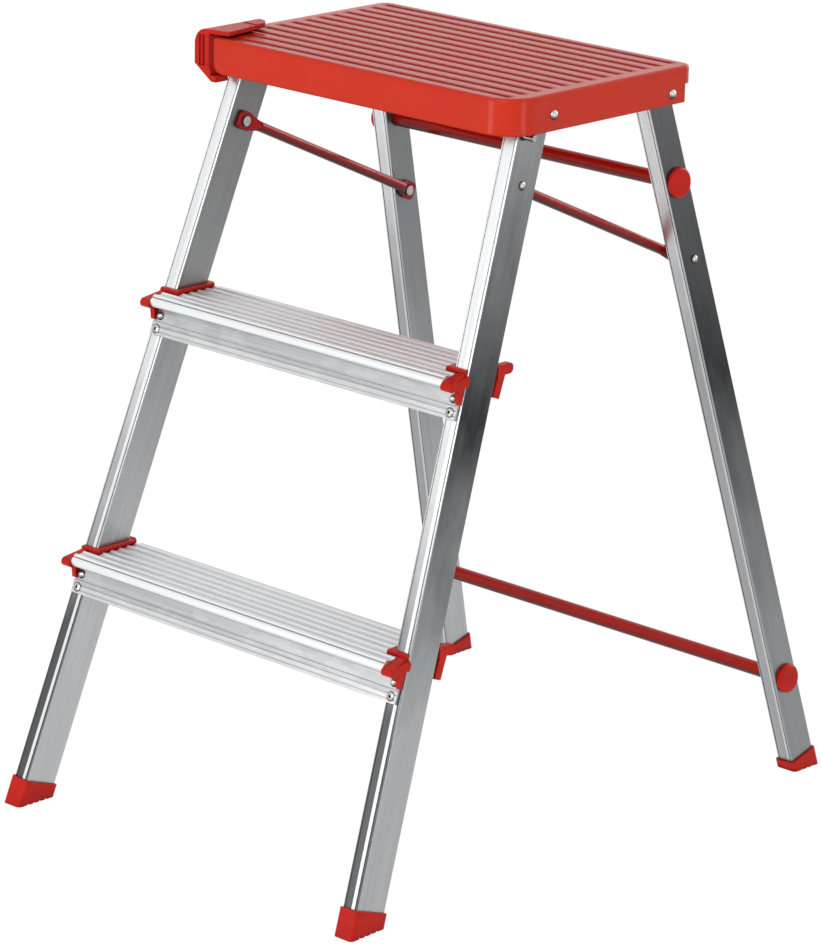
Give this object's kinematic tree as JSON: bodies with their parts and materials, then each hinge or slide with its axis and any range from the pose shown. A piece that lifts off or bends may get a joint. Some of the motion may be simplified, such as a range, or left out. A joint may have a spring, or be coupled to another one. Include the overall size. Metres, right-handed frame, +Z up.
{
  "type": "folding step stool",
  "caption": "Folding aluminium step stool with two ribbed treads, a ribbed red platform that turns to fold, a strutted rear frame and a thumb latch.",
  "frame": {"origin": "on the floor under the middle of the bounding box, between the four feet", "axes": "+Z up, +Y towards the rear frame, so that the treads are climbed from the -Y side; +X to the user's right when facing the treads"},
  "size_m": [0.4694, 0.6233, 0.6971],
  "materials": {
    "aluminium": "bright extruded aluminium, satin",
    "red_paint": "glossy powder paint",
    "red_plastic": "semi-gloss moulded plastic",
    "steel": "bright zinc-plated"
  },
  "bodies": {
    "front_frame": {"front_stile_left": "aluminium", "front_stile_right": "aluminium", "tread_lower": "aluminium", "tread_upper": "aluminium", "end_cap_lower_left": "red_plastic", "end_cap_lower_right": "red_plastic", "end_cap_upper_left": "red_plastic", "end_cap_upper_right": "red_plastic", "tread_dome_rivets": "steel", "tread_blind_rivets": "steel", "front_foot_left": "red_plastic", "front_foot_right": "red_plastic", "platform_pivot_rivets": "steel", "platform_pivot_spacers": "steel", "stop_studs": "steel", "strut_front_rivets": "steel", "strut_washers": "steel", "stile_top_plugs": "red_plastic"},
    "platform": {"platform_deck": "red_paint", "rear_pivot_rivets": "steel", "rear_pivot_spacers": "steel", "latch_bracket": "steel", "latch_bracket_rivets": "steel", "latch_hinge_pin": "steel", "latch_spring": "steel"},
    "latch": {"latch_lever": "red_plastic"},
    "rear_frame": {"rear_leg_left": "aluminium", "rear_leg_right": "aluminium", "rear_foot_left": "red_plastic", "rear_foot_right": "red_plastic", "upper_crossbar": "red_paint", "lower_crossbar": "red_paint", "upper_bar_cap_left": "red_plastic", "upper_bar_cap_right": "red_plastic", "lower_bar_cap_left": "red_plastic", "lower_bar_cap_right": "red_plastic", "strut_leg_rivets": "steel", "leg_top_plugs": "red_plastic"},
    "strut_left": {"strut_left": "red_paint", "strut_left_eye_rivet": "steel"},
    "strut_right": {"strut_right": "red_paint", "strut_right_eye_rivet": "steel"}
  },
  "joints": [
    {"name": "platform_fold", "type": "hinge", "parent": "front_frame", "child": "platform", "pos_m": [0, -0.04452, 0.6715], "axis": [-1, 0, 0], "range_deg": [0, 84]},
    {"name": "rear_frame_fold", "type": "hinge", "parent": "platform", "child": "rear_frame", "pos_m": [0, 0.11162, 0.667], "axis": [1, 0, 0], "range_deg": [0, 48.61]},
    {"name": "strut_left_fold", "type": "hinge", "parent": "front_frame", "child": "strut_left", "pos_m": [-0.158, -0.07136, 0.612], "axis": [-1, 0, 0], "range_deg": [0, 70.3]},
    {"name": "strut_right_fold", "type": "hinge", "parent": "front_frame", "child": "strut_right", "pos_m": [0.158, -0.07136, 0.612], "axis": [-1, 0, 0], "range_deg": [0, 70.3]},
    {"name": "latch_press", "type": "hinge", "parent": "platform", "child": "latch", "pos_m": [-0.1914, -0.06152, 0.682], "axis": [0, 1, 0], "range_deg": [0, 3.5], "stiffness_Nm_per_rad": 0.15, "springref_deg": -11.46}
  ],
  "couplings": [
    {"joint": "rear_frame_fold", "follows": "platform_fold", "ratio": 0.5775},
    {"joint": "strut_left_fold", "follows": "platform_fold", "ratio": 0.8357},
    {"joint": "strut_right_fold", "follows": "platform_fold", "ratio": 0.8357}
  ]
}
